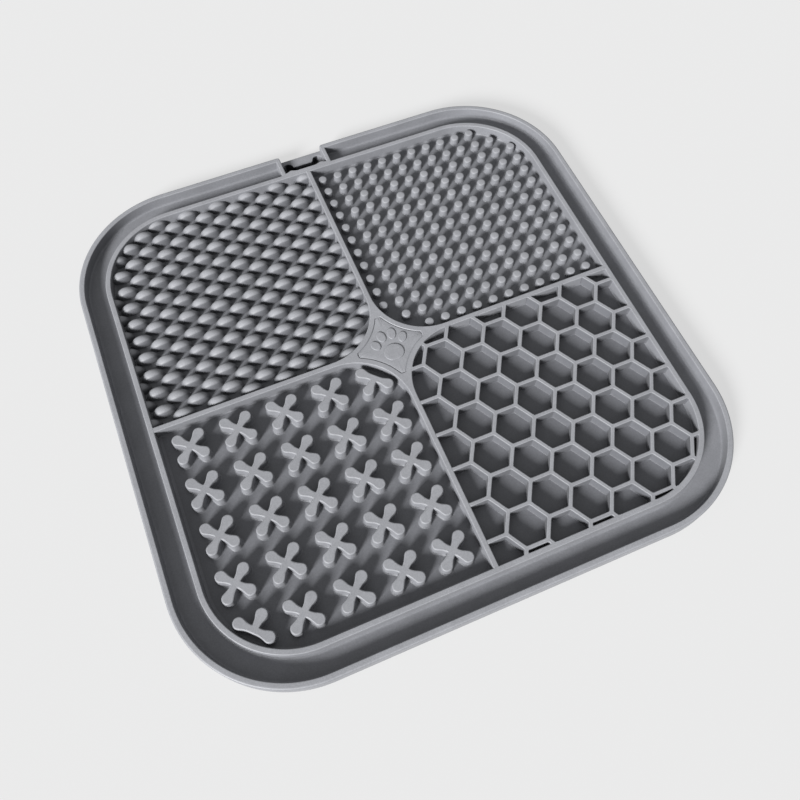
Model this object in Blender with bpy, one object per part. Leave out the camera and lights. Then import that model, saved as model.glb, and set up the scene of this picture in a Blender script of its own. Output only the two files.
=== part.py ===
"""Square lick mat, moulded in one piece of silicone rubber.

A shallow tray with rounded corners is split by a cross of dividers into four
fields: fish-scale fins, round pins, X-shaped crosses and a honeycomb. A gutter
with a lip runs round the tray, and a bone-shaped hanging slot sits in a gap
of the lip at the back. +X is right, +Y is back, +Z is up; the origin is on
the underside, at the middle of the mat. All sizes are in metres.
"""

import math

import bmesh
import bpy
from mathutils import Vector

# Whole mat
MAT_SIDE = 0.200
MAT_HEIGHT = 0.0066
CORNER_RADIUS = 0.041
CORNER_SEGMENTS = 8

# Rim: lip, gutter and tray wall, measured inwards from the outer edge
LIP_WIDTH = 0.0022
WALL_SETBACK = 0.0099
WALL_WIDTH = 0.0020
GUTTER_DEPTH = 0.0043
TRAY_DEPTH = 0.0043

# Dividers and the star-shaped plate where they meet
DIVIDER_WIDTH = 0.0020
STAR_RADIUS = 0.021
PANEL_INSET = 0.0022
PANEL_SHOULDER = 0.0117
PANEL_REACH = 0.0123
PANEL_TIP_HALF = 0.0005
PANEL_RECESS = 0.0004

# Paw ornament on the star plate: one pad and four toes
PAW_PAD_RADIUS = 0.0036
PAW_PAD_DROP = 0.0032
PAW_TOE_RADIUS = 0.0014
PAW_TOE_REACH = 0.0056
PAW_TOE_ANGLES = (-54.0, -18.0, 18.0, 54.0)

# Pins, back right
PIN_COUNT = 13
PIN_PITCH = 0.00657
PIN_FIRST = 0.0043
PIN_HEIGHT = 0.0032
PIN_FOOT_RADIUS = 0.0019
PIN_TIP_RADIUS = 0.0016
PIN_SIDES = 4
PIN_MARGIN = 0.0020

# Fins, back left, in rows that are staggered by half a pitch
FIN_PITCH = 0.01247
FIN_ROW_STEP = 0.00382
FIN_ROWS = 23
FIN_FIRST_X = 0.00217
FIN_FIRST_Y = 0.0034
FIN_HALF_LENGTH = 0.0043
FIN_HALF_WIDTH = 0.0020
FIN_HEIGHT = 0.0032
FIN_BITE = 0.0006       # how far a fin that meets a wall runs into it

# Crosses, front left
CROSS_COUNT = 5
CROSS_PITCH = 0.01685
CROSS_MIDDLE = 0.0442
CROSS_REACH = 0.0072
CROSS_WAIST_HALF = 0.0010
CROSS_END_HALF = 0.0019
CROSS_CORNER_INSET = 0.0009   # the cross at the round corner stands this much further in

# Honeycomb, front right
CELL_PITCH = 0.0135
CELL_WALL = 0.0015
CELL_FIRST_X = 0.01557
CELL_FIRST_Y = 0.01226
SMALLEST_CELL_SIDE = 0.0012

# Hanging slot in the gap of the lip, at the middle of the back edge
GAP_HALF = 0.0088
GAP_WALL_EXTRA = 0.0007
GAP_DEPTH = 0.0032
RIB_WIDTH = 0.0018
SLOT_Y = 0.0944
SLOT_WAIST_HALF = 0.0011
SLOT_LOBE_RADIUS = 0.0020
SLOT_LOBE_X = 0.0064
SLOT_LOBE_RISE = 0.0014
LOBE_SEGMENTS = 8

SINK = 0.0003           # how far a raised piece reaches into the floor before they are joined
OVERCUT = 0.0010        # how far a cutter passes the face that it opens

HALF = MAT_SIDE / 2
TRAY_HALF = HALF - WALL_SETBACK - WALL_WIDTH
TRAY_RADIUS = CORNER_RADIUS - WALL_SETBACK - WALL_WIDTH
DIVIDER_FACE = DIVIDER_WIDTH / 2
FLOOR_Z = MAT_HEIGHT - TRAY_DEPTH
SQRT3 = math.sqrt(3.0)

MAT_COLOR = (0.235, 0.245, 0.262, 1.0)


def clear_scene():
    for item in list(bpy.data.objects):
        bpy.data.objects.remove(item, do_unlink=True)


def new_collection(name):
    collection = bpy.data.collections.new(name)
    bpy.context.scene.collection.children.link(collection)
    return collection


def silicone_material():
    material = bpy.data.materials.new("grey_silicone")
    material.use_nodes = True
    shader = material.node_tree.nodes["Principled BSDF"]
    shader.inputs["Base Color"].default_value = MAT_COLOR
    shader.inputs["Roughness"].default_value = 0.55
    shader.inputs["Metallic"].default_value = 0.0
    return material


# Outlines: lists of (x, y), anticlockwise

def arc(cx, cy, radius, start_deg, end_deg, segments):
    """Points on a circle from one angle to another, both ends included."""
    points = []
    for i in range(segments + 1):
        angle = math.radians(start_deg + (end_deg - start_deg) * i / segments)
        points.append((cx + radius * math.cos(angle), cy + radius * math.sin(angle)))
    return points


def rounded_square(half, radius):
    flat = half - radius
    points = []
    for quarter in range(4):
        start = 90.0 * quarter
        sx = 1 if quarter in (0, 3) else -1
        sy = 1 if quarter in (0, 1) else -1
        points += arc(sx * flat, sy * flat, radius, start, start + 90.0, CORNER_SEGMENTS)
    return points


def mirrored(points, sx, sy):
    """An outline moved to another quadrant, still anticlockwise."""
    moved = [(sx * x, sy * y) for x, y in points]
    if sx * sy < 0:
        moved.reverse()
    return moved


def field_outline(inset=0.0):
    """The back right field: a square whose far corner has the tray's radius and
    whose corner at the middle bulges round the star plate."""
    low = DIVIDER_FACE + inset
    high = TRAY_HALF - inset
    far = TRAY_HALF - TRAY_RADIUS
    near = DIVIDER_FACE + STAR_RADIUS
    points = [(high, low)]
    points += arc(far, far, TRAY_RADIUS - inset, 0.0, 90.0, CORNER_SEGMENTS)
    points += [(low, high)]
    points += arc(near, near, STAR_RADIUS - inset, 180.0, 270.0, CORNER_SEGMENTS)
    return points


def inside(point, outline):
    """Even-odd test of a point against a closed outline."""
    x, y = point
    hit = False
    for (ax, ay), (bx, by) in zip(outline, outline[1:] + outline[:1]):
        if (ay > y) != (by > y) and x < ax + (y - ay) * (bx - ax) / (by - ay):
            hit = not hit
    return hit


def cross_outline(cx, cy, missing):
    """Diagonal arms that flare from a narrow waist to blunt ends; one of the four may be missing."""
    points = []
    for quarter in range(4):
        angle = math.radians(45.0 + 90.0 * quarter)
        along = Vector((math.cos(angle), math.sin(angle)))
        side = Vector((-along.y, along.x))
        start = Vector((cx, cy))
        for out in () if quarter == missing else (-1.0, 1.0):
            points.append(tuple(start + along * 0.95 * CROSS_REACH + side * out * CROSS_END_HALF))
        crotch = math.radians(90.0 + 90.0 * quarter)
        depth = CROSS_WAIST_HALF * math.sqrt(2.0)
        points.append((cx + depth * math.cos(crotch), cy + depth * math.sin(crotch)))
    return points


def hexagon(cx, cy, flat_half):
    """A hexagon with two sides along X."""
    corner = flat_half * 2.0 / SQRT3
    return [(cx + corner * math.cos(math.radians(60.0 * i)), cy + corner * math.sin(math.radians(60.0 * i)))
            for i in range(6)]


def bone_outline():
    """A bar with two round lobes at each end."""
    tip = math.degrees(math.asin(SLOT_LOBE_RISE / SLOT_LOBE_RADIUS))
    neck = math.degrees(math.asin((SLOT_LOBE_RISE - SLOT_WAIST_HALF) / SLOT_LOBE_RADIUS))
    lobe = arc(SLOT_LOBE_X, SLOT_LOBE_RISE, SLOT_LOBE_RADIUS, -tip, 180.0 + neck, LOBE_SEGMENTS)
    points = []
    for sx, sy in ((1, 1), (-1, 1), (-1, -1), (1, -1)):
        points += mirrored(lobe, sx, sy)
    points = [point for i, point in enumerate(points) if math.dist(point, points[i - 1]) > 1e-6]
    return [(x, SLOT_Y + y) for x, y in points]


# Solids

def mesh_object(name, bm, collection):
    bmesh.ops.recalc_face_normals(bm, faces=bm.faces)
    mesh = bpy.data.meshes.new(name)
    bm.to_mesh(mesh)
    bm.free()
    item = bpy.data.objects.new(name, mesh)
    collection.objects.link(item)
    return item


def prism(name, outlines, low, high, collection):
    """Flat outlines drawn as one filled curve, given height and made a mesh."""
    curve = bpy.data.curves.new(name, "CURVE")
    curve.dimensions = "2D"
    curve.fill_mode = "BOTH"
    curve.extrude = (high - low) / 2
    for outline in outlines:
        spline = curve.splines.new("POLY")
        spline.points.add(len(outline) - 1)
        for point, (x, y) in zip(spline.points, outline):
            point.co = (x, y, 0.0, 1.0)
        spline.use_cyclic_u = True
    source = bpy.data.objects.new(name + "_curve", curve)
    collection.objects.link(source)
    source.location.z = (low + high) / 2
    bpy.context.view_layer.update()
    evaluated = source.evaluated_get(bpy.context.evaluated_depsgraph_get())
    mesh = bpy.data.meshes.new_from_object(evaluated)
    matrix = source.matrix_world.copy()
    bpy.data.objects.remove(source, do_unlink=True)
    bm = bmesh.new()
    bm.from_mesh(mesh)
    bpy.data.meshes.remove(mesh)
    bmesh.ops.transform(bm, matrix=matrix, verts=bm.verts)
    bmesh.ops.remove_doubles(bm, verts=bm.verts, dist=1e-6)
    return mesh_object(name, bm, collection)


def apply_boolean(target, other, operation):
    """Cut, join or intersect, and drop the other solid."""
    modifier = target.modifiers.new(operation.lower(), "BOOLEAN")
    modifier.operation = operation
    modifier.solver = "EXACT"
    modifier.object = other
    bpy.context.view_layer.update()
    evaluated = target.evaluated_get(bpy.context.evaluated_depsgraph_get())
    mesh = bpy.data.meshes.new_from_object(evaluated)
    target.modifiers.clear()
    target.data = mesh
    bpy.data.objects.remove(other, do_unlink=True)


def blank(collection):
    return prism("lick_mat", [rounded_square(HALF, CORNER_RADIUS)], 0.0, MAT_HEIGHT, collection)


def gutter_cutter(collection):
    """The gutter's ring, with the two ribs that cross it at the back left out."""
    outer = rounded_square(HALF - LIP_WIDTH, CORNER_RADIUS - LIP_WIDTH)
    inner = rounded_square(HALF - WALL_SETBACK, CORNER_RADIUS - WALL_SETBACK)
    low = MAT_HEIGHT - GUTTER_DEPTH
    high = MAT_HEIGHT + OVERCUT
    ring = prism("gutter_cutter", [outer, inner], low, high, collection)
    reach = GAP_HALF + RIB_WIDTH
    keep = [(-reach, HALF - 0.015), (reach, HALF - 0.015), (reach, HALF), (-reach, HALF)]
    bridge = prism("rib_keeper", [keep], low - OVERCUT, high + OVERCUT, collection)
    apply_boolean(ring, bridge, "DIFFERENCE")
    return ring


def gap_cutter(collection):
    """Leaves a low plate between the ribs, where there is no lip."""
    front = HALF - WALL_SETBACK + GAP_WALL_EXTRA
    outline = [(-GAP_HALF, front), (GAP_HALF, front), (GAP_HALF, HALF + OVERCUT), (-GAP_HALF, HALF + OVERCUT)]
    return prism("gap_cutter", [outline], MAT_HEIGHT - GAP_DEPTH, MAT_HEIGHT + OVERCUT, collection)


def slot_cutter(collection):
    return prism("slot_cutter", [bone_outline()], -OVERCUT, MAT_HEIGHT + OVERCUT, collection)


def fields_cutter(collection):
    """The pins', fins' and crosses' fields. The honeycomb cuts its own cells."""
    signs = ((1, 1), (-1, 1), (-1, -1))
    outlines = [mirrored(field_outline(), sx, sy) for sx, sy in signs]
    return prism("fields_cutter", outlines, FLOOR_Z, MAT_HEIGHT + OVERCUT, collection)


def cell_centres():
    """Centres of every honeycomb cell that touches the front right field."""
    step_x = CELL_PITCH * SQRT3 / 2
    for column in range(-1, 8):
        x = CELL_FIRST_X + column * step_x
        shift = CELL_PITCH / 2 if column % 2 else 0.0
        for row in range(-1, 8):
            y = CELL_FIRST_Y + row * CELL_PITCH - shift
            yield x, -y


def honeycomb_cutter(collection):
    """Hexagonal cells trimmed to the field, without those too thin to mould."""
    cells = [hexagon(x, y, (CELL_PITCH - CELL_WALL) / 2) for x, y in cell_centres()]
    cells = [cell for cell in cells if max(x for x, y in cell) > DIVIDER_FACE and min(y for x, y in cell) < -DIVIDER_FACE]
    solid = prism("honeycomb_cutter", cells, FLOOR_Z, MAT_HEIGHT + OVERCUT, collection)
    field = mirrored(field_outline(), 1, -1)
    trim = prism("honeycomb_trim", [field], FLOOR_Z - OVERCUT, MAT_HEIGHT + 2 * OVERCUT, collection)
    apply_boolean(solid, trim, "INTERSECT")
    drop_thin_islands(solid, SMALLEST_CELL_SIDE)
    return solid


def drop_thin_islands(item, smallest):
    """Deletes each separate piece whose plan is narrower than the given size."""
    bm = bmesh.new()
    bm.from_mesh(item.data)
    left = set(bm.verts)
    while left:
        island = set()
        queue = [left.pop()]
        while queue:
            vert = queue.pop()
            island.add(vert)
            for edge in vert.link_edges:
                other = edge.other_vert(vert)
                if other in left:
                    left.remove(other)
                    queue.append(other)
        xs = [vert.co.x for vert in island]
        ys = [vert.co.y for vert in island]
        if min(max(xs) - min(xs), max(ys) - min(ys)) < smallest:
            bmesh.ops.delete(bm, geom=list(island), context="VERTS")
    bm.to_mesh(item.data)
    bm.free()


def crosses(collection):
    """Five by five crosses; the one at the round corner and the one at the star have three arms."""
    outlines = []
    last = CROSS_COUNT - 1
    for i in range(CROSS_COUNT):
        for j in range(CROSS_COUNT):
            x = -CROSS_MIDDLE + (i - last / 2) * CROSS_PITCH
            y = -CROSS_MIDDLE + (j - last / 2) * CROSS_PITCH
            missing = {(0, 0): 2, (last, last): 0}.get((i, j))
            inset = CROSS_CORNER_INSET if missing == 2 else 0.0
            outlines.append(cross_outline(x + inset, y + inset, missing))
    return prism("crosses", outlines, FLOOR_Z - SINK, MAT_HEIGHT, collection)


def pins(collection):
    """Tapered pins on a square grid, wherever they clear the field's edge."""
    field = field_outline(PIN_MARGIN)
    depth = PIN_HEIGHT + SINK
    bm = bmesh.new()
    for i in range(PIN_COUNT):
        for j in range(PIN_COUNT):
            x = PIN_FIRST + i * PIN_PITCH
            y = PIN_FIRST + j * PIN_PITCH
            if not inside((x, y), field):
                continue
            made = bmesh.ops.create_cone(bm, cap_ends=True, segments=PIN_SIDES, radius1=PIN_FOOT_RADIUS,
                                         radius2=PIN_TIP_RADIUS, depth=depth)
            middle = FLOOR_Z - SINK + depth / 2
            bmesh.ops.translate(bm, verts=made["verts"], vec=(x, y, middle))
    return mesh_object("pins", bm, collection)


def add_fin(bm, x, y):
    """A low upright blade: pointed ends, bulging sides and an arched ridge."""
    foot = FLOOR_Z - SINK
    shoulder = FLOOR_Z + 0.8 * FIN_HEIGHT
    top = FLOOR_Z + FIN_HEIGHT
    stations = (
        (-1.0, 0.0, foot), (1.0, 0.0, foot), (0.0, -1.0, foot), (0.0, 1.0, foot),
        (-0.55, 0.0, shoulder), (0.55, 0.0, shoulder), (0.0, 0.0, top),
    )
    verts = [bm.verts.new((x + u * FIN_HALF_LENGTH, y + v * FIN_HALF_WIDTH, z)) for u, v, z in stations]
    bmesh.ops.convex_hull(bm, input=verts)


def fins(collection):
    """Staggered rows of fins, cut off where they run into the field's walls."""
    field = mirrored(field_outline(-FIN_BITE), -1, 1)
    bm = bmesh.new()
    for row in range(FIN_ROWS):
        y = FIN_FIRST_Y + row * FIN_ROW_STEP
        shift = 0.0 if row % 2 == 0 else FIN_PITCH / 2
        for column in range(8):
            x = -(FIN_FIRST_X + shift + column * FIN_PITCH)
            if inside((x, y), field):
                add_fin(bm, x, y)
    solid = mesh_object("fins", bm, collection)
    trim = prism("fin_trim", [field], 0.0, MAT_HEIGHT + OVERCUT, collection)
    apply_boolean(solid, trim, "INTERSECT")
    return solid


def panel_cutter(collection):
    """Shallow recess in the star plate, around the raised paw."""
    bulge = DIVIDER_FACE + STAR_RADIUS
    radius = STAR_RADIUS + PANEL_INSET
    blunt = math.degrees(math.acos((bulge - PANEL_SHOULDER) / radius))
    points = []
    for sx, sy in ((1, 1), (-1, 1), (-1, -1), (1, -1)):
        side = [(PANEL_REACH, PANEL_TIP_HALF)]
        side += arc(bulge, bulge, radius, 180.0 + blunt, 270.0 - blunt, 4)
        side += [(PANEL_TIP_HALF, PANEL_REACH)]
        points += mirrored(side, sx, sy)
    outlines = [points, *paw_outlines()]
    return prism("panel_cutter", outlines, MAT_HEIGHT - PANEL_RECESS, MAT_HEIGHT + OVERCUT, collection)


def paw_outlines():
    """Outlines left standing in the recess: the pad, and four toes on an arc."""
    outlines = [arc(0.0, -PAW_PAD_DROP, PAW_PAD_RADIUS, 0.0, 324.0, 9)]
    for angle in PAW_TOE_ANGLES:
        x = PAW_TOE_REACH * math.sin(math.radians(angle))
        y = PAW_TOE_REACH * math.cos(math.radians(angle)) - 0.5 * PAW_PAD_DROP + 0.5 * PAW_TOE_RADIUS
        outlines.append(arc(x, y, PAW_TOE_RADIUS, 0.0, 300.0, 5))
    return outlines


def build():
    clear_scene()
    parts = new_collection("lick_mat")
    helpers = new_collection("helpers")
    mat = blank(parts)
    for cutter in (gutter_cutter, gap_cutter, slot_cutter, fields_cutter, honeycomb_cutter, panel_cutter):
        apply_boolean(mat, cutter(helpers), "DIFFERENCE")
    for relief in (crosses, pins, fins):
        apply_boolean(mat, relief(helpers), "UNION")
    mat.data.materials.clear()
    mat.data.materials.append(silicone_material())
    bpy.data.collections.remove(helpers)


build()
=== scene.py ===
# Grey silicone lick mat with four fields of relief, lying on a pale table.
# Lengths are metres, +Z is up, and the hanging slot is at the back, on +Y.
import math

import bmesh
import bpy
import numpy as np
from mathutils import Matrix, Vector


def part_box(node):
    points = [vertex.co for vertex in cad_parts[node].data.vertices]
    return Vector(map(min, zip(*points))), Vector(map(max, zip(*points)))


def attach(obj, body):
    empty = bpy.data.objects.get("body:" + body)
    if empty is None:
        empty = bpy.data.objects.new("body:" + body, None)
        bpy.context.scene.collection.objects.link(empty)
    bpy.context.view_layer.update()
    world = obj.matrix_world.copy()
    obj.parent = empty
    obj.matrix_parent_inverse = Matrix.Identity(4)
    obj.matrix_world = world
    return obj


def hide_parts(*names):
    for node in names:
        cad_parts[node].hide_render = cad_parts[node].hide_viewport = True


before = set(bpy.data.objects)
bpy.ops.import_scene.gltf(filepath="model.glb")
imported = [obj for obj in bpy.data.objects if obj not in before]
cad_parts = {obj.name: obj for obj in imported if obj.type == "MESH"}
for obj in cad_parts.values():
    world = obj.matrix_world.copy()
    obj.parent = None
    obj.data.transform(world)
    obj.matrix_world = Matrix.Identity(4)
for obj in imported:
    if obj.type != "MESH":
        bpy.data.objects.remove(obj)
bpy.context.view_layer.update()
print("frame loaded:", len(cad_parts), "node")

matNode = "lick_mat"
matHalf, _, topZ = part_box(matNode)[1]

# What the fields and the rim share, measured inwards from the outer edge
mat = {
    "cornerRadius": 0.041,
    "lipWidth": 0.0022,
    "wallOuter": 0.0099,
    "wallInner": 0.0119,
    "gutterDepth": 0.0043,
    "trayDepth": 0.0043,
    "dividerHalf": 0.0010,
    "starRadius": 0.021,
    "edge": 0.00038,          # rounding of a moulded top edge
    "foot": 0.00055,          # fillet where a wall meets the floor
    "draft": 0.00010,         # how much a wall leans in over its height
    "sunk": 0.0004,           # walls and pins start this far under the floor
    "sharpFrom": 38,          # degrees between two faces from which their edge is drawn sharp
}
floorZ = topZ - mat["trayDepth"]
trayHalf = matHalf - mat["wallInner"]
trayRadius = mat["cornerRadius"] - mat["wallInner"]
hairline = 0.00001            # keeps flush tops from lying in exactly one plane
almost = 0.98                 # a fillet takes a bit less than its side, so that no two points meet
roomier = 1.02                # and a flat is a bit longer than the rounding that ends on it


def hexColor(code):
    # sRGB hex to linear: c / 12.92 below 0.04045, else ((c + 0.055) / 1.055) ^ 2.4
    values = [int(code[i:i + 2], 16) / 255 for i in (1, 3, 5)]
    return [v / 12.92 if v <= 0.04045 else ((v + 0.055) / 1.055) ** 2.4 for v in values] + [1.0]


def addNode(tree, kind, settings=None, links=None):
    # a node with its properties and unlinked values, then its inputs' links
    node = tree.nodes.new(kind)
    for name, value in (settings or {}).items():
        if name in node.inputs:
            node.inputs[name].default_value = value
        else:
            setattr(node, name, value)
    for name, source in (links or {}).items():
        tree.links.new(source, node.inputs[name])
    return node


def softCorners(corners, steps=4):
    # each corner p is cut back by its own length to a and b on its two sides, and the cut
    # is bridged by the parabola (1-s)^2 a + 2 s (1-s) p + s^2 b
    corners = np.array(corners, float)
    points, cuts = corners[:, :2], corners[:, 2]
    line = [points[:1]]
    s = np.linspace(0, 1, steps + 1)[:, None]
    for before, p, after, cut in zip(points, points[1:], points[2:], cuts[1:]):
        if cut == 0:
            line.append(p[None])
            continue
        a = p + (before - p) / np.linalg.norm(before - p) * cut
        b = p + (after - p) / np.linalg.norm(after - p) * cut
        line.append((1 - s) ** 2 * a + 2 * s * (1 - s) * p + s ** 2 * b)
    line.append(points[-1:])
    return np.concatenate(line)


def gridPiece(name, grid, wrapRows=False, wrapCols=True, closed=True):
    # the grid holds points as (surface, row, column, xyz), or one surface alone. Each of its cells
    # is one quad, and a row that shrinks to a point becomes a pole when doubles are merged. An open
    # sheet keeps its edge, and its rows run so that its faces point up
    grid = grid if grid.ndim == 4 else grid[None]
    index = np.arange(grid.size // 3).reshape(grid.shape[:3])
    right = np.roll(index, -1, axis=2)
    quads = np.stack((index, right, np.roll(right, -1, axis=1), np.roll(index, -1, axis=1)), axis=-1)
    quads = quads if wrapRows else quads[:, :-1]
    quads = quads if wrapCols else quads[:, :, :-1]
    mesh = bpy.data.meshes.new(name)
    mesh.from_pydata(grid.reshape(-1, 3), [], quads.reshape(-1, 4))
    work = bmesh.new()
    work.from_mesh(mesh)
    bmesh.ops.remove_doubles(work, verts=work.verts, dist=1e-6)
    bmesh.ops.dissolve_degenerate(work, edges=work.edges, dist=1e-7)
    if closed:
        bmesh.ops.holes_fill(work, edges=[e for e in work.edges if e.is_boundary], sides=0)
        bmesh.ops.recalc_face_normals(work, faces=work.faces)
    work.to_mesh(mesh)
    work.free()
    mesh.shade_smooth()
    mesh.set_sharp_from_angle(angle=math.radians(mat["sharpFrom"]))
    piece = bpy.data.objects.new(name, mesh)
    bpy.context.scene.collection.objects.link(piece)
    even = piece.modifiers.new("evenShading", "WEIGHTED_NORMAL")
    even.keep_sharp = True
    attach(piece, "root")
    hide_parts(matNode)
    print(name, "has", len(mesh.polygons), "faces")
    return piece


def direction(angle):
    # unit vector (cos, sin) of each angle
    return np.stack((np.cos(angle), np.sin(angle)), axis=-1)


def atHeights(rings, z):
    # plan points (..., ring, point, xy), each with its ring's height
    z = np.broadcast_to(np.asarray(z)[:, None, None], rings.shape[:-1] + (1,))
    return np.concatenate((rings, z), axis=-1)


def outlineNormals(outline):
    # outward normal of an anticlockwise closed line: its central difference turned by -90 degrees
    along = np.roll(outline, -1, axis=-2) - np.roll(outline, 1, axis=-2)
    normal = np.stack((along[..., 1], -along[..., 0]), axis=-1)
    return normal / np.maximum(np.linalg.norm(normal, axis=-1, keepdims=True), 1e-12)


def raised(outline, normals, spine, profile, fill=3):
    # ring k is outline + normal * outset_k at height z_k; the last ring closes on the spine in
    # straight steps, and the first ring closes on it at its own height
    outset, height = profile[:, 0], profile[:, 1]
    rings = outline[..., None, :, :] + normals[..., None, :, :] * outset[:, None, None]
    spine = np.broadcast_to(spine, outline.shape)[..., None, :, :]
    share = (np.arange(1, fill + 1) / fill)[:, None, None]
    lid = rings[..., -1:, :, :] * (1 - share) + spine * share
    z = np.concatenate((height[:1], height, np.full(fill, height[-1])))
    return atHeights(np.concatenate((spine, rings, lid), axis=-3), z)


def wallProfile(top, foot=mat["foot"], edge=mat["edge"]):
    # outset and height from below the floor, up the fillet and the leaning side, over the edge
    lean = mat["draft"]
    return softCorners([
        (foot + lean, floorZ - mat["sunk"], 0), (foot + lean, floorZ, 0), (lean, floorZ, foot * almost),
        (0, top, edge), (-edge * roomier, top, 0)])


def cornerFans(perCorner):
    # signs (1, 1), (-1, 1), (-1, -1), (1, -1) of a rectangle's corners, and the normals round each
    quarter = np.arange(4)[:, None] * math.pi / 2
    fans = direction(quarter + np.linspace(0, math.pi / 2, perCorner))
    return np.sign(direction(quarter + math.pi / 4)), fans


def squareLine(half, radius, perCorner):
    # centre of each corner + radius * normal, the four quarters one after another
    sign, normal = cornerFans(perCorner)
    return ((half - radius) * sign + radius * normal).reshape(-1, 2), normal.reshape(-1, 2)


def barLine(halfWidth, start, end, radius, perCorner=5):
    # a rounded rectangle along +Y from start to end, and the point of its spine beside each point
    sign, normal = cornerFans(perCorner)
    centre = sign * (halfWidth - radius, (end - start) / 2 - radius) + (0, (start + end) / 2)
    line = (centre + radius * normal).reshape(-1, 2)
    along = np.clip(line[:, 1], start + halfWidth, end - halfWidth)
    spine = np.stack((np.zeros(len(line)), along), axis=-1)
    return line, normal.reshape(-1, 2), spine


def turned(points, turns):
    # quarter turns about +Z, (x, y) -> (-y, x), with a height left as it is
    for _ in range(turns):
        points = np.concatenate((-points[..., 1:2], points[..., :1], points[..., 2:]), axis=-1)
    return points


def fieldCorners(grow):
    # middle, radius and side of a field's two round corners: by the wall, and round the star plate
    return ((trayHalf - trayRadius, trayRadius + grow, 1),
            (mat["dividerHalf"] + mat["starRadius"], mat["starRadius"] + grow, -1))


def keepInField(points, signs, grow):
    # clamps plan points to a field grown by that much: the square from the divider's face to the
    # wall's, and then each round corner, where own = centre + away * radius / |away|
    own = points * signs
    own = np.clip(own, mat["dividerHalf"] - grow, trayHalf + grow)
    for centre, radius, side in fieldCorners(grow):
        away = own - centre
        reach = np.linalg.norm(away, axis=-1, keepdims=True)
        beyond = (away * side > 0).all(axis=-1, keepdims=True) & (reach > radius)
        own = np.where(beyond, centre + away * radius / np.maximum(reach, 1e-9), own)
    return own * signs


def insideField(points, signs, grow):
    # clamping leaves a point where it is if it lies inside
    return np.abs(keepInField(points, signs, grow) - points).max(axis=-1) < 1e-7


def fieldReach(origins, ways, signs, grow):
    # distance from a point along a way to the field's outline: the nearest of four straight
    # sides, or the circle of a round corner where the square is met beyond the corner's start
    low, high = mat["dividerHalf"] - grow, trayHalf + grow
    own, way = origins * signs, ways * signs
    with np.errstate(divide="ignore", invalid="ignore"):
        side = np.where(way > 0, (high - own) / way, np.where(way < 0, (low - own) / way, np.inf))
    reach = side.min(axis=-1)
    for centre, radius, sign in fieldCorners(grow):
        hit = own + way * reach[..., None] - centre
        away = own - centre
        across = (away * way).sum(axis=-1)
        inner = across ** 2 - (away ** 2).sum(axis=-1) + radius ** 2
        arc = -across + np.sqrt(np.maximum(inner, 0))
        reach = np.where((hit * sign > 0).all(axis=-1), np.minimum(reach, arc), reach)
    return reach


siliconeLook = {
    "hollow": "#646569",      # floors
    "rimFloorPaintedLight": "#707175",   # the gutter's floor, painted a little paler than the tray's: painted light, as the open gutter's shade is lighter
    "slotPaintedShade": "#26272A",    # painted shade: the narrow slot's sides are painted dark, as if unlit
    "side": "#6A6B6F",        # sides of walls, pins and crosses
    "cellSidePaintedShade": "#525357",    # sides of the cells, painted darker: painted shade that dims their lit bands
    "finSidePaintedShade": "#58595D",     # sides of the fins, in between: painted shade that darkens the fins' fronts
    "top": "#828387",         # painted light: tops are painted the palest
    "paintedLightFrom": 0.0029,        # heights over which a level surface takes the tops' painted light
    "paintedLightFull": 0.0038,
    "tiltFrom": 0.58,         # upward share of the normal below which a surface gets no painted top light; slopes take darker tones, a painted shade that dims their highlights
    "tiltFull": 0.995,
    "mottle": 0.05,           # share by which wide clouds vary the tone
    "cloud": 0.009,
    "cloudDetail": 3.0,
    "grain": 0.00042,         # mould texture, taken as 0.1 mm and drawn coarser so that it shows
    "grainDetail": 2.0,
    "grainTone": 0.07,        # share by which the grain varies the tone
    "grainDepth": 0.00002,
    "bump": 0.35,
    "noiseFrom": 0.3,         # the part of the noise's range that is used
    "noiseTo": 0.7,
    "roughness": 0.52,
    "roughnessVaries": 0.05,
}


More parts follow.
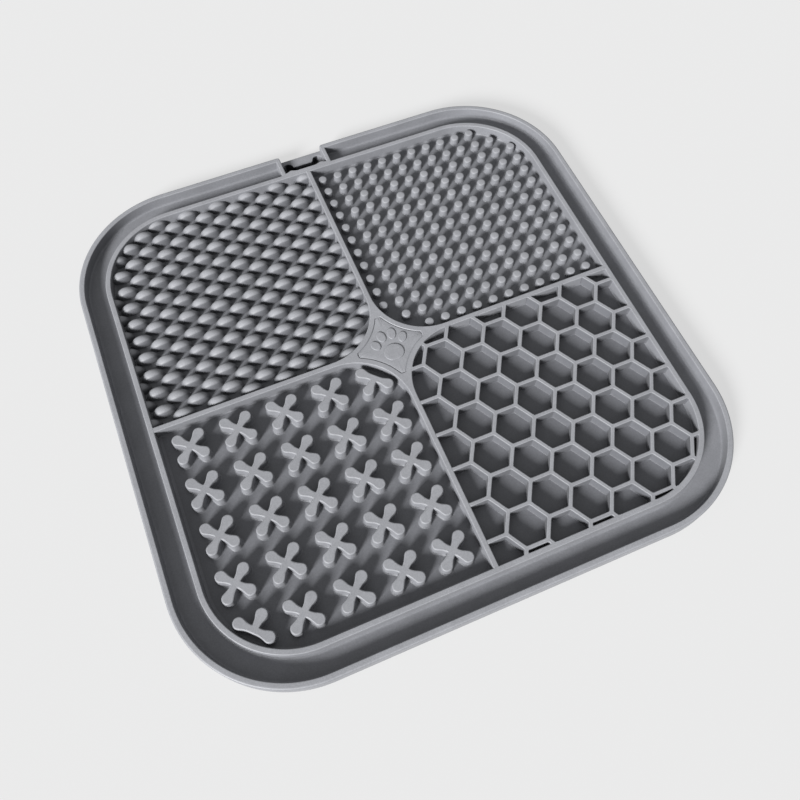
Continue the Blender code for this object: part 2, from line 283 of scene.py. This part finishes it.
def mouldedSilicone(name, hollow, side):
    # moulded silicone rubber, as if from a blasted mould: a matte, faintly grainy grey. Its tone goes by tilt
    # and height, from the sides to the floors and to the tops, which are painted palest as painted light; the
    # side tone passed in carries painted shade for the cells, fins and slot
    look = siliconeLook
    material = bpy.data.materials.new(name)
    material.use_nodes = True
    tree = material.node_tree
    tree.nodes.clear()
    place = addNode(tree, "ShaderNodeTexCoord").outputs["Object"]
    facing = addNode(tree, "ShaderNodeNewGeometry").outputs["Normal"]
    height = addNode(tree, "ShaderNodeSeparateXYZ", None, {"Vector": place}).outputs["Z"]
    upward = addNode(tree, "ShaderNodeSeparateXYZ", None, {"Vector": facing}).outputs["Z"]

    def ramp(value, low, high, toLow=0.0, toHigh=1.0):
        return addNode(tree, "ShaderNodeMapRange", {
            "interpolation_type": "SMOOTHSTEP", "From Min": low, "From Max": high,
            "To Min": toLow, "To Max": toHigh,
        }, {"Value": value}).outputs["Result"]

    def noise(size, detail):
        return addNode(tree, "ShaderNodeTexNoise", {"Scale": 1 / size, "Detail": detail}, {"Vector": place})

    def vary(pattern, middle, spread):
        return ramp(pattern.outputs["Fac"], look["noiseFrom"], look["noiseTo"],
                    middle - spread, middle + spread)

    def multiply(first, second):
        return addNode(tree, "ShaderNodeMath", {"operation": "MULTIPLY"}, {0: first, 1: second}).outputs[0]

    def blend(share, low, high):
        node = addNode(tree, "ShaderNodeMix", {"data_type": "RGBA"}, {0: share})
        for socket, tone in ((6, low), (7, high)):
            if isinstance(tone, str):
                node.inputs[socket].default_value = hexColor(tone)
            else:
                tree.links.new(tone, node.inputs[socket])
        return node.outputs[2]

    # painted light and shade: the tone goes by upward tilt from the sides to the floors, and level surfaces
    # up high are painted the palest
    level = ramp(upward, look["tiltFrom"], look["tiltFull"])
    top = multiply(ramp(height, look["paintedLightFrom"], look["paintedLightFull"]), level)
    tone = blend(top, blend(level, side, hollow), look["top"])
    cloud, grain = noise(look["cloud"], look["cloudDetail"]), noise(look["grain"], look["grainDetail"])
    both = multiply(vary(cloud, 1, look["mottle"]), vary(grain, 1, look["grainTone"]))
    tint = addNode(tree, "ShaderNodeHueSaturation", None, {"Value": both, "Color": tone})
    rough = vary(grain, look["roughness"], look["roughnessVaries"])
    bump = addNode(tree, "ShaderNodeBump", {"Strength": look["bump"], "Distance": look["grainDepth"]},
                   {"Height": grain.outputs["Fac"]})
    surface = addNode(tree, "ShaderNodeBsdfPrincipled", {
        "IOR": 1.41, "Sheen Weight": 0.05, "Sheen Roughness": 0.5,
    }, {"Base Color": tint.outputs["Color"], "Roughness": rough, "Normal": bump.outputs["Normal"]})
    addNode(tree, "ShaderNodeOutputMaterial", None, {"Surface": surface.outputs["BSDF"]})
    return material


baseSheet = {
    "reach": 0.0130,          # from the outer edge to where the rim's section begins
    "perCorner": 28,
}


def makeBaseSheet():
    # rounded square line scaled to the centre, at the underside and at the tray floor
    reach = baseSheet["reach"]
    line, _ = squareLine(matHalf - reach, mat["cornerRadius"] - reach, baseSheet["perCorner"])
    scale = np.array([0.0, 0.5, 1.0, 1.0, 0.5, 0.0])
    z = [0.0, 0.0, 0.0, floorZ, floorZ, floorZ]
    return gridPiece("traySheet", atHeights(line[None] * scale[:, None, None], z))


rim = {
    "perCorner": 40,
    "underCut": 0.0007,       # rounding under the outer edge
    "lipCut": 0.0007,         # rounding of the lip's outer shoulder
    "gutterFoot": 0.0009,
    "gapHalf": 0.0097,        # the lip stops here, at the middle of each rib
}


def rimProfile():
    # offset inwards and height, once round the section: underside, outer side, lip, gutter, wall, floor
    edge, lean = mat["edge"], mat["draft"]
    gutterZ = topZ - mat["gutterDepth"]
    return softCorners([
        (baseSheet["reach"], 0, 0), (0, 0, rim["underCut"]), (0, topZ, rim["lipCut"]),
        (mat["lipWidth"], topZ, edge), (mat["lipWidth"] + lean, gutterZ, rim["gutterFoot"]),
        (mat["wallOuter"] - lean, gutterZ, rim["gutterFoot"]), (mat["wallOuter"], topZ, edge),
        (mat["wallInner"], topZ, edge), (mat["wallInner"] + lean, floorZ, mat["foot"]),
        (baseSheet["reach"], floorZ, 0)])


def sweep(line, normals, profile):
    # point (k, i) = line_i - normal_i * offset_k at height z_k
    return atHeights(line[None] - normals[None] * profile[:, 0, None, None], profile[:, 1])


def makeRim():
    # the profile goes round from one rib to the other, and leaves the gap at the back open
    line, normals = squareLine(matHalf, mat["cornerRadius"], rim["perCorner"])
    line, normals = (np.roll(a, -rim["perCorner"], axis=0) for a in (line, normals))
    ends = np.array([[-rim["gapHalf"], matHalf], [rim["gapHalf"], matHalf]])
    back = np.array([[0.0, 1.0]])
    line = np.concatenate((ends[:1], line, ends[1:]))
    normals = np.concatenate((back, normals, back))
    return gridPiece("rimAndGutter", sweep(line, normals, rimProfile()), wrapRows=True, wrapCols=False)


slot = {
    "plateDepth": 0.0032,
    "plateBite": 0.0004,      # how far the plate runs into the wall
    "tuck": 0.0006,           # a hidden foot starts this far under or inside what hides it
    "wallSteps": 61,
    "wallFoot": 0.0085,       # the wall in the gap starts this far in, under the plate
    "extraWall": 0.0006,      # the tray wall is this much thicker in the gap
    "bulge": 0.0007,          # and swells behind each lobe of the bone
    "bulgeWidth": 0.0014,
    "bulgeUnder": 0.001,      # from this far under the plate's top
    "middleY": 0.0944,
    "waistHalf": 0.0011,
    "lobeX": 0.0064,
    "lobeRise": 0.0014,
    "lobeRadius": 0.0020,
    "lobeSteps": 13,
    "neckFrom": 0.30,         # the lobe's arc ends this many radians before its half circle
    "neckEnd": 0.0034,        # and the straight waist begins here
    "neckSteps": 5,
    "edge": 0.00030,
    "bend": 0.3,              # a rounding's middle lies this share of its size in from both sides
    "turnAt": 0.6,            # share of the rectangle's corner points that go up its side
    "pastLobe": 0.0002,       # the turned part ends this far outside the lobe's middle
    "steep": 0.3,             # a face whose normal rises less than this is a side
    "sideReach": 0.0038,      # the slot's own sides lie this close to its middle line
    "ribHalf": 0.0009,
    "ribCorner": 0.0007,
    "ribEnd": 0.00025,        # ribs stop this far inside the outer edge
    "ribLean": 0.00015,       # outset of a rib at the plate
    "ribFootLean": 0.0002,    # and at its foot
}
plateZ = topZ - slot["plateDepth"]


def makeSlotWall():
    # the rim's wall alone, on a straight path, its outer face pushed out by two bell curves
    # bulge * exp(-((x - lobe) / width)^2)
    foot, face = slot["wallFoot"], mat["wallOuter"] - slot["extraWall"]
    profile = softCorners([
        (baseSheet["reach"], 0, 0), (foot, 0, 0), (foot, plateZ - slot["tuck"], 0),
        (face - mat["draft"], plateZ - slot["tuck"], 0), (face, topZ, mat["edge"]),
        (mat["wallInner"], topZ, mat["edge"]), (mat["wallInner"] + mat["draft"], floorZ, mat["foot"]),
        (baseSheet["reach"], floorZ, 0)])
    x = np.linspace(rim["gapHalf"], -rim["gapHalf"], slot["wallSteps"])
    line = np.stack((x, np.full_like(x, matHalf)), axis=-1)
    grid = sweep(line, np.broadcast_to([0.0, 1.0], line.shape), profile)
    bell = sum(np.exp(-((x - c) / slot["bulgeWidth"]) ** 2) for c in (-slot["lobeX"], slot["lobeX"]))
    outerFace = (profile[:, 0] < mat["wallOuter"]) & (profile[:, 1] > plateZ - slot["bulgeUnder"])
    grid[..., 1] += outerFace[:, None] * bell * slot["bulge"]
    return gridPiece("slotWall", grid, wrapRows=True, wrapCols=False)


def boneLine():
    # one quarter is the lobe's arc from the tip, where two lobes meet, then a parabola that
    # rounds the neck into the straight waist; it is mirrored to the four quarters
    tip = math.asin(slot["lobeRise"] / slot["lobeRadius"])
    angle = np.linspace(-tip, math.pi - slot["neckFrom"], slot["lobeSteps"])
    arc = (slot["lobeX"], slot["lobeRise"]) + slot["lobeRadius"] * direction(angle)
    start, end = arc[-1], np.array([slot["neckEnd"], slot["waistHalf"]])
    heading = np.array([-math.sin(angle[-1]), math.cos(angle[-1])])
    corner = start + heading * (end[1] - start[1]) / heading[1]
    s = np.arange(1, slot["neckSteps"] + 1)[:, None] / slot["neckSteps"]
    neck = (1 - s) ** 2 * start + 2 * s * (1 - s) * corner + s ** 2 * end
    quarter = np.concatenate((arc, neck))
    upper = np.concatenate((quarter, quarter[::-1] * (-1, 1)))
    return np.concatenate((upper, -upper))


def plateLine(quarter, reach, lowReach):
    # the plate's rectangle, a point for each point of the bone line. In a quarter, the points up to
    # the lobe's top are matched by their share of the way round the rectangle's corner, and from
    # there on by the same x. The lower half is the upper one, scaled to its own reach
    byX = (quarter[:, 0] <= slot["lobeX"]) & (quarter[:, 1] > slot["lobeRise"])
    s = np.linspace(0, 1, np.argmax(byX))
    stops = [0, slot["turnAt"], 1]
    side = rim["gapHalf"]
    corner = np.stack((np.interp(s, stops, [side, side, slot["lobeX"] + slot["pastLobe"]]),
                       np.interp(s, stops, [0, reach, reach])), axis=-1)
    over = quarter[len(s):] * (1, 0) + (0, reach)
    upper = np.concatenate((corner, over))
    lower = upper * (1, lowReach / reach)
    return np.concatenate((upper, upper[::-1] * (-1, 1), -lower, (-lower[::-1]) * (-1, 1)))


def makeSlotPlate():
    # rings from the bone line up to the plate's top, out to its rectangle, and back underneath;
    # a rounding is a ring at its start, one at its bend and one at its end
    bone = boneLine()
    normals = outlineNormals(bone)
    back = slot["middleY"]
    reach = matHalf - back
    lowReach = back - (matHalf - (mat["wallOuter"] - slot["plateBite"]))
    border = plateLine(bone[:len(bone) // 4], reach, lowReach)
    outward = np.where(border[:, 1:] > reach - 1e-6, 1.0, 0.0) * (0, 1)
    cut, lip, under, bend = slot["edge"], rim["lipCut"], rim["underCut"], slot["bend"]
    rings = [
        (bone, 0.0), (bone, plateZ - cut), (bone + normals * cut * bend, plateZ - cut * bend),
        (bone + normals * cut, plateZ), (border - outward * lip, plateZ),
        (border - outward * lip * bend, plateZ - lip * bend), (border, plateZ - lip),
        (border, under), (border - outward * under, 0.0)]
    grid = atHeights(np.stack([line for line, _ in rings]) + (0, back), [z for _, z in rings])
    plate = gridPiece("slotPlate", grid, wrapRows=True)
    # the slot's own sides are steep and lie near the bone, and they take the second material, painted dark as
    # painted shade
    faces = plate.data.polygons
    centres, facing = (np.empty(len(faces) * 3, np.float32) for _ in range(2))
    faces.foreach_get("center", centres)
    faces.foreach_get("normal", facing)
    x, y, _ = centres.astype(float).reshape(-1, 3).T
    away = np.maximum(np.abs(x) - slot["lobeX"], 0) + np.abs(y - back)
    shadedSlotSides = (np.abs(facing[2::3]) < slot["steep"]) & (away < slot["sideReach"])
    faces.foreach_set("material_index", shadedSlotSides.astype(np.int32))
    for name, side in (("mouldedSiliconePlate", "side"), ("mouldedSiliconeSlotPaintedShade", "slotPaintedShade")):
        plate.data.materials.append(mouldedSilicone(name, siliconeLook["rimFloorPaintedLight"], siliconeLook[side]))
    return plate


def makeRibs():
    # two bars across the gutter, flush with the lip and the wall
    start, end = matHalf - mat["wallInner"] + slot["tuck"], matHalf - slot["ribEnd"]
    line, normals, spine = barLine(slot["ribHalf"], start, end, slot["ribCorner"])
    top = topZ - hairline
    profile = softCorners([
        (slot["ribFootLean"], slot["tuck"], 0), (slot["ribLean"], plateZ, 0), (0, top, mat["edge"]),
        (-mat["edge"] * roomier, top, 0)])
    bar = raised(line, normals, spine, profile, fill=1)
    return gridPiece("gutterRibs", np.stack([bar + (x, 0, 0) for x in (-rim["gapHalf"], rim["gapHalf"])]))


dividers = {
    "start": 0.0205,          # distance from the mat's middle, just inside the star plate's tips
    "bite": 0.0009,           # how far the far end runs into the tray wall
    "corner": 0.0003,
}


def makeDividers():
    # one bar along +Y, turned to the four sides
    line, normals, spine = barLine(mat["dividerHalf"], dividers["start"], trayHalf + dividers["bite"],
                                   dividers["corner"])
    bar = raised(line, normals, spine, wallProfile(topZ - hairline), fill=1)
    return gridPiece("dividerWalls", np.stack([turned(bar, k) for k in range(4)]))


star = {
    "perSide": 33,
    "panelInset": 0.0022,
    "panelEnd": 0.0119,       # where the panel's tips begin to round off
    "tipDepth": 0.0005,
    "tipSteps": 6,
    "grooveWidth": 0.00032,
    "grooveDepth": 0.00028,
    "grooveSection": ((1, 0), (0.35, 0.8), (0, 1), (-0.35, 0.8)),  # shares of half width and depth
    "recess": 0.00008,        # the panel lies this far under the plate's top
    "fillRings": (0.75, 0.5, 0.25, 0.0),
}


def starLine():
    # a quarter is an arc about a point out on the diagonal; the quarters are turned in order
    centre = mat["dividerHalf"] + mat["starRadius"]
    normal = -direction(np.linspace(1.5 * math.pi, math.pi, star["perSide"]))
    quarter = centre - mat["starRadius"] * normal
    return (np.concatenate([turned(quarter, k) for k in range(4)]),
            np.concatenate([turned(normal, k) for k in range(4)]))


def panelLine():
    # the same arcs further in, closed by a quarter ellipse at each end of each arc
    centre = mat["dividerHalf"] + mat["starRadius"]
    radius = mat["starRadius"] + star["panelInset"]
    end = math.acos((centre - star["panelEnd"]) / radius)
    shoulder = centre - radius * math.sin(end)
    cut = math.pi / 2 - end
    steps = star["perSide"] - 2 * star["tipSteps"]
    arc = centre + radius * direction(np.linspace(1.5 * math.pi - cut, math.pi + cut, steps))
    bend = np.linspace(0, math.pi / 2, star["tipSteps"], endpoint=False)
    close = (star["panelEnd"], 0) + direction(bend) * (star["tipDepth"], shoulder)
    quarter = np.concatenate((close, arc, close[::-1, ::-1]))
    return np.concatenate([turned(quarter, k) for k in range(4)])


def makeStar():
    # the plate's rings run in from its edge to the groove, down, up again and over the panel
    line, normals = starLine()
    panel = panelLine()
    panelNormals = outlineNormals(panel)
    top = topZ - hairline / 2
    panelZ = top - star["recess"]
    profile = wallProfile(top)
    edgeRings = line[None] + normals[None] * profile[:, 0, None, None]
    groove = [(share * star["grooveWidth"], top - sink * star["grooveDepth"])
              for share, sink in star["grooveSection"]] + [(-star["grooveWidth"], panelZ)]
    grooveRings = np.stack([panel + panelNormals * out for out, _ in groove])
    fill = grooveRings[-1:] * np.array(star["fillRings"])[:, None, None]
    flat = np.concatenate((line[None] * 0, edgeRings, grooveRings, fill))
    z = np.concatenate((profile[:1, 1], profile[:, 1], [h for _, h in groove], np.full(len(fill), panelZ)))
    return gridPiece("starPlate", atHeights(flat, z))


paw = {
    "around": 48,
    "height": 0.00030,
    "edge": 0.00022,
    "sunk": 0.0003,           # the pads start this far under the panel
    "lean": 0.00005,
    "pad": {"at": (0.0, -0.0034), "size": (0.0037, 0.0034)},
    "dent": 0.10,             # the pad's foot is pressed in by this share of its radius
    "dentAngle": 0.35,        # over about this many radians to each side
    "toes": [  # centre across, centre along, half width, half length, lean in degrees
        (-0.0052, 0.0014, 0.00155, 0.0021, 28), (-0.0020, 0.0041, 0.00160, 0.0023, 9),
        (0.0020, 0.0041, 0.00160, 0.0023, -9), (0.0052, 0.0014, 0.00155, 0.0021, -28)],
}


def makePaw():
    # the pad is a circle with its foot pressed in by a bell curve, a toe is an ellipse turned by
    # its lean; all rise on a soft edge
    angle = np.linspace(0, 2 * math.pi, paw["around"], endpoint=False)
    circle = direction(angle)
    dent = 1 - paw["dent"] * np.exp(-((angle - 1.5 * math.pi) / paw["dentAngle"]) ** 2)
    pads = [circle * dent[:, None] * paw["pad"]["size"] + paw["pad"]["at"]]
    for x, y, halfWidth, halfLength, lean in paw["toes"]:
        c, s = math.cos(math.radians(lean)), math.sin(math.radians(lean))
        pads.append((circle * (halfWidth, halfLength)) @ np.array([[c, s], [-s, c]]) + (x, y))
    line = np.stack(pads)
    base = topZ - star["recess"]
    top = base + paw["height"]
    profile = softCorners([
        (2 * paw["lean"], base - paw["sunk"], 0), (paw["lean"], base, 0), (0, top, paw["edge"]),
        (-paw["edge"], top, 0)])
    return gridPiece("pawPads", raised(line, outlineNormals(line), line.mean(axis=1, keepdims=True), profile))


pins = {
    "count": 13,
    "pitch": 0.00657,
    "first": 0.0043,
    "margin": 0.0020,         # no pin's middle comes closer than this to the field's edge
    "radius": 0.00182,
    "tipRadius": 0.00172,
    "height": 0.0032,
    "edge": 0.00042,
    "crown": 0.00012,         # how much the tip swells, as a parabola
    "crownCut": 0.0002,
    "foot": 0.00022,
    "around": 24,
}


def makePins():
    # a line of radius and height turned about each pin's axis, over a soft edge to a low crown
    place = pins["first"] + pins["pitch"] * np.arange(pins["count"])
    centres = np.stack(np.meshgrid(place, place), axis=-1).reshape(-1, 2)
    centres = centres[insideField(centres, (1, 1), -pins["margin"])]
    foot, tip = floorZ - mat["sunk"], floorZ + pins["height"]
    radius, tipRadius, crown = pins["radius"], pins["tipRadius"], pins["crown"]
    wide = radius + pins["foot"]
    line = softCorners([
        (0, foot, 0), (wide, foot, 0), (wide, floorZ, 0), (radius, floorZ, pins["foot"] * almost),
        (tipRadius, tip - crown, pins["edge"]), (tipRadius / 2, tip - crown / 4, pins["crownCut"]),
        (0, tip, 0)], steps=3)
    ring = direction(np.linspace(0, 2 * math.pi, pins["around"], endpoint=False))
    print(len(centres), "pins")
    return gridPiece("pins", atHeights(ring * line[:, None, :1] + centres[:, None, None], line[:, 1]))


fins = {
    "pitch": 0.01247,
    "rowStep": 0.00382,
    "rows": 23,
    "columns": 8,
    "firstX": 0.00217,
    "firstY": 0.0034,
    "halfLength": 0.0044,
    "halfWidth": 0.0021,
    "height": 0.0037,
    "bite": 0.0006,           # how far a fin runs into the walls that cut it
    "reach": 0.0016,          # a fin's middle may lie this far outside the field
    "planFullness": 0.63,     # powers in the surface's formula: the smaller, the fuller
    "ridgeFullness": 0.48,
    "sectionFullness": 0.34,
    "alongSteps": 20,
    "overSteps": 12,
}


def makeFins():
    # x = L u, y = W (1 - u^2)^a cos v, z = H (1 - u^2)^b sin^c v, for u in -1..1 and v in 0..pi;
    # rows are staggered by half a pitch
    row, column = np.meshgrid(np.arange(fins["rows"]), np.arange(fins["columns"]), indexing="ij")
    centres = np.stack((-(fins["firstX"] + (row % 2) * fins["pitch"] / 2 + column * fins["pitch"]),
                        fins["firstY"] + row * fins["rowStep"]), axis=-1).reshape(-1, 2)
    centres = centres[insideField(centres, (-1, 1), fins["reach"])]
    u = np.sin(np.linspace(-math.pi / 2, math.pi / 2, fins["alongSteps"] + 1))[:, None]
    v = np.linspace(0, math.pi, fins["overSteps"] + 1)[None]
    end = np.maximum(1 - u ** 2, 0)
    arch = np.maximum(np.sin(v), 0) ** fins["sectionFullness"]
    body = np.stack((fins["halfLength"] * u + 0 * v,
                     fins["halfWidth"] * end ** fins["planFullness"] * np.cos(v),
                     fins["height"] * end ** fins["ridgeFullness"] * arch), axis=-1)
    floor = np.full((len(centres), 1), floorZ)
    grid = body[None] + np.concatenate((centres, floor), axis=-1)[:, None, None]
    grid[..., :2] = keepInField(grid[..., :2], (-1, 1), fins["bite"])
    print(len(centres), "fins")
    return gridPiece("fins", grid)


crosses = {
    "count": 5,
    "pitch": 0.01685,
    "middle": -0.0442,
    "edge": 0.00050,
    "cornerInset": 0.0009,    # the cross by the outer corner stands this much further in
    "steps": 3,
    "arm": [  # distance from the middle along the arm, half width there
        (0.00125, 0.00125), (0.0020, 0.00128), (0.0030, 0.00142), (0.0042, 0.00180), (0.0053, 0.00204),
        (0.0062, 0.00182), (0.0069, 0.00120), (0.0072, 0.00062), (0.0073, 0.0)],
}


def smoothLine(points, steps):
    # Catmull-Rom curve through the points, with the ends' tangents from the ends' own chords
    points = np.array(points, float)
    points = np.concatenate((2 * points[:1] - points[1:2], points, 2 * points[-1:] - points[-2:-1]))
    p0, p1, p2, p3 = (points[k:len(points) - 3 + k, None] for k in range(4))
    t = (np.arange(steps) / steps)[None, :, None]
    curve = 0.5 * (2 * p1 + (p2 - p0) * t + (2 * p0 - 5 * p1 + 4 * p2 - p3) * t ** 2
                   + (3 * p1 - p0 - 3 * p2 + p3) * t ** 3)
    return np.concatenate((curve.reshape(-1, 2), points[-2:-1]))


def makeCrosses():
    # half an arm's line, mirrored about the arm and turned to four arms. The two crosses in the
    # field's round corners lack one arm, and a straight line between its crotches closes them
    half = smoothLine(crosses["arm"], crosses["steps"]) * (1, -1)
    arm = np.concatenate((half[:-1], half[::-1][:-1] * (1, -1)))
    c = math.sqrt(0.5)        # sine and cosine of 45 degrees
    arm = arm @ np.array([[c, c], [-c, c]])
    arms = np.stack([turned(arm, k) for k in range(4)])
    share = np.linspace(0, 1, len(arm), endpoint=False)[:, None]
    stumps = arms[:, :1] * (1 - share) + np.roll(arms, -1, axis=0)[:, :1] * share
    place = crosses["middle"] + crosses["pitch"] * (np.arange(crosses["count"]) - (crosses["count"] - 1) / 2)
    centres = np.stack(np.meshgrid(place, place), axis=-1).reshape(-1, 1, 2)
    centres[0] += crosses["cornerInset"]
    shapes = np.repeat(arms[None], len(centres), axis=0)
    shapes[0, 2], shapes[-1, 0] = stumps[2], stumps[0]
    line = centres + shapes.reshape(len(centres), -1, 2)
    profile = wallProfile(topZ, edge=crosses["edge"])
    return gridPiece("crosses", raised(line, outlineNormals(line), centres, profile))


honeycomb = {
    "pitch": 0.0135,
    "wall": 0.0015,
    "firstX": 0.01557,
    "firstY": -0.01226,
    "columns": (-2, 8),
    "rows": (-1, 8),
    "middleInset": 0.0009,    # a cut cell's middle is moved this far into the field
    "leastCut": 0.0002,       # a cell is left out if that middle is closer than this to a side
    "rimGap": 0.00005,        # pockets run this far into the walls around the field
    "cornerSharpness": 60,
    "around": 72,
    "sunk": 0.0007,           # cells dip this far under the top where they meet the field's walls
    "smallest": 2.2e-6,       # a pocket with less area than this is filled
    "foot": 0.00022,
    "lift": 0.00002,          # keeps the cells' floor over the tray's
    "floorRings": (0.6, 0.25, 0.0),
}


def cellMiddles():
    # a grid of hexagons, every second column half a pitch up. Returned for those in the field: the
    # hexagon's middle, the same moved into the field, how far that brings it to each of the six
    # sides, and the sides' normals
    pitch = honeycomb["pitch"]
    column, row = np.meshgrid(np.arange(*honeycomb["columns"]), np.arange(*honeycomb["rows"]), indexing="ij")
    hexes = np.stack((honeycomb["firstX"] + column * (pitch * math.sqrt(3) / 2),
                      honeycomb["firstY"] - row * pitch + (column % 2) * pitch / 2), axis=-1).reshape(-1, 2)
    middles = keepInField(hexes, (1, -1), -honeycomb["middleInset"])
    sides = direction(np.radians(30 + 60 * np.arange(6)))
    offset = ((middles - hexes)[:, None] * sides).sum(axis=-1)
    used = offset.max(axis=-1) < pitch / 2 - honeycomb["leastCut"]
    return hexes[used], middles[used], offset[used], sides


def cellAngles(hexes, middles):
    # even steps round each middle, and the hexagon's own six corners between them
    corners = hexes[:, None] + honeycomb["pitch"] / math.sqrt(3) * direction(np.radians(60 * np.arange(6)))
    corners = corners - middles[:, None]
    even = np.linspace(-math.pi, math.pi, honeycomb["around"], endpoint=False)
    even = np.broadcast_to(even, (len(hexes), len(even)))
    return np.sort(np.concatenate((even, np.arctan2(corners[..., 1], corners[..., 0])), axis=1), axis=1)


def makeHoneycomb():
    # each cell is a ring of distances r(angle) about its own middle: the least of its six sides'
    # r = gap / cos(angle from the side's normal) and of the field's outline. The outer ring lies
    # on the middle of the walls, so neighbours meet there; the pocket goes down inside it
    hexes, middles, offset, sides = cellMiddles()
    angle = cellAngles(hexes, middles)
    ways = direction(angle)
    slant = (ways[:, :, None] * sides).sum(axis=-1)
    origins = np.broadcast_to(middles[:, None], ways.shape)

    def sideReach(gap):
        with np.errstate(divide="ignore"):
            return np.where(slant > 1e-6, (gap - offset)[:, None] / np.maximum(slant, 1e-6), np.inf)

    def pocket(inset):
        # soft least: (sum of r^-p)^(-1/p), which rounds the pocket's corners
        sharp = honeycomb["cornerSharpness"]
        walls = sideReach((honeycomb["pitch"] - honeycomb["wall"]) / 2 - inset)
        rest = fieldReach(origins, ways, (1, -1), honeycomb["rimGap"] - inset / 2)
        every = np.maximum(np.concatenate((walls, rest[..., None]), axis=-1), 1e-6)
        least = every.min(axis=-1, keepdims=True)
        return least[..., 0] * ((every / least) ** -sharp).sum(axis=-1) ** (-1 / sharp)

    toSides = sideReach(honeycomb["pitch"] / 2).min(axis=-1)
    toField = fieldReach(origins, ways, (1, -1), mat["dividerHalf"])
    outer = np.minimum(toSides, toField)
    atWall = toField < toSides
    # area of each pocket, the sum of r^2 / 2 times the angle's step
    step = np.diff(angle, axis=1, append=angle[:, :1] + 2 * math.pi)
    isOpen = 0.5 * (pocket(0.0) ** 2 * step).sum(axis=1) > honeycomb["smallest"]
    print(len(hexes), "cells,", int(isOpen.sum()), "of them open")
    # rings from the outer one down the pocket's side and over its floor. A wall's profile, from
    # its top down, gives how far each ring stands in from the pocket's outline, and its height
    top = topZ - 2 * hairline
    low = top - honeycomb["sunk"]
    profile = wallProfile(top, foot=honeycomb["foot"])[:0:-1]
    z = profile[:, 1] + honeycomb["lift"]
    rings = [outer] + [np.minimum(pocket(inset), outer) for inset in profile[:, 0]]
    rings += [rings[-1] * share for share in honeycomb["floorRings"]]
    z = np.concatenate(([top], z, np.full(len(honeycomb["floorRings"]), z[-1])))
    radius = np.stack(rings, axis=1)
    height = np.broadcast_to(z[:, None], radius.shape)
    height = np.where(atWall[:, None], np.minimum(height, low), height)
    height = np.where(isOpen[:, None, None], height, np.where(atWall[:, None], low, top))
    flat = middles[:, None, None] + ways[:, None] * radius[..., None]
    return gridPiece("honeycomb", np.concatenate((flat, height[..., None]), axis=-1), closed=False)


# material, its tones on floors and on sides, and the pieces that wear it
looks = (
    ("mouldedSiliconeTray", "hollow", "side",
     (makeBaseSheet, makeDividers, makeStar, makePaw, makePins, makeCrosses)),
    ("mouldedSiliconeFins", "hollow", "finSidePaintedShade", (makeFins,)),
    ("mouldedSiliconeCells", "hollow", "cellSidePaintedShade", (makeHoneycomb,)),
    ("mouldedSiliconeRim", "rimFloorPaintedLight", "side", (makeRim, makeSlotWall, makeRibs)),
)
for name, hollow, side, makers in looks:
    silicone = mouldedSilicone(name, siliconeLook[hollow], siliconeLook[side])
    for make in makers:
        make().data.materials.append(silicone)
makeSlotPlate()


# The table glows a little, as if lit from all sides, so that shadows on it are faint. Under the slot lies a
# dark sheet, hidden by the mat: painted shade standing in for the table's shade under the mat, because the
# glowing table would show through too bright
table = {
    "low": (-4, -4), "high": (4, 4), "z": -0.00005,
    "material": "mattePaper", "paper": "#656565", "roughness": 0.9, "shine": 0.1, "glow": 0.62,
}
# painted shade: a dark sheet in place of the shade under the slot
slotShade = {
    "low": (-0.016, 0.086), "high": (0.016, 0.0988), "z": -0.00003,
    "material": "shadedPaper", "paper": "#303030", "roughness": 0.9, "shine": 0.5, "glow": 0.0,
}


def makePaper(name, sheet):
    # a flat rectangle like uncoated paper: matte and even in tone, with hardly any gloss
    (left, front), (right, back) = sheet["low"], sheet["high"]
    corners = [(left, front), (right, front), (right, back), (left, back)]
    mesh = bpy.data.meshes.new(name)
    mesh.from_pydata([(x, y, sheet["z"]) for x, y in corners], [], [(0, 1, 2, 3)])
    piece = bpy.data.objects.new(name, mesh)
    bpy.context.scene.collection.objects.link(piece)
    material = bpy.data.materials.new(sheet["material"])
    material.use_nodes = True
    surface = material.node_tree.nodes["Principled BSDF"].inputs
    surface["Base Color"].default_value = hexColor(sheet["paper"])
    surface["Roughness"].default_value = sheet["roughness"]
    surface["Specular IOR Level"].default_value = sheet["shine"]
    surface["Emission Color"].default_value = hexColor("#FFFFFF")
    surface["Emission Strength"].default_value = sheet["glow"]
    mesh.materials.append(material)


light = {
    "turn": 216,              # degrees round from +X to where the key light stands, front left
    "rise": 24,               # and how many it stands above the table
    "spread": 16,
    "strength": 8.6,
    "sky": 0.43,
    "skyTint": (0.98, 0.99, 1.0, 1),
}


def makeLights():
    # one soft key from the front left, low, and an even sky
    sun = bpy.data.lights.new("keyLight", "SUN")
    sun.energy = light["strength"]
    sun.angle = math.radians(light["spread"])
    key = bpy.data.objects.new("keyLight", sun)
    key.rotation_euler = (math.radians(90 - light["rise"]), 0, math.radians(light["turn"] + 90))
    bpy.context.scene.collection.objects.link(key)
    world = bpy.data.worlds.new("studio")
    world.use_nodes = True
    sky = world.node_tree.nodes["Background"].inputs
    sky["Color"].default_value = light["skyTint"]
    sky["Strength"].default_value = light["sky"]
    bpy.context.scene.world = world


camera = {
    "at": (-0.05158, -0.13129, 0.25141),
    "turn": (25.843, -0.086, -22.699),
    "lens": 34.928,
    "sensor": 36,
    "clipStart": 0.01,
}


def makeCamera():
    lens = bpy.data.cameras.new("camera")
    lens.lens = camera["lens"]
    lens.sensor_width = camera["sensor"]
    lens.clip_start = camera["clipStart"]
    seat = bpy.data.objects.new("camera", lens)
    seat.location = camera["at"]
    seat.rotation_euler = [math.radians(a) for a in camera["turn"]]
    bpy.context.scene.collection.objects.link(seat)
    bpy.context.scene.camera = seat


makePaper("table", table)
makePaper("slotShade", slotShade)
makeLights()
makeCamera()
bpy.context.scene.view_settings.view_transform = "Standard"
print("table, light and camera set")
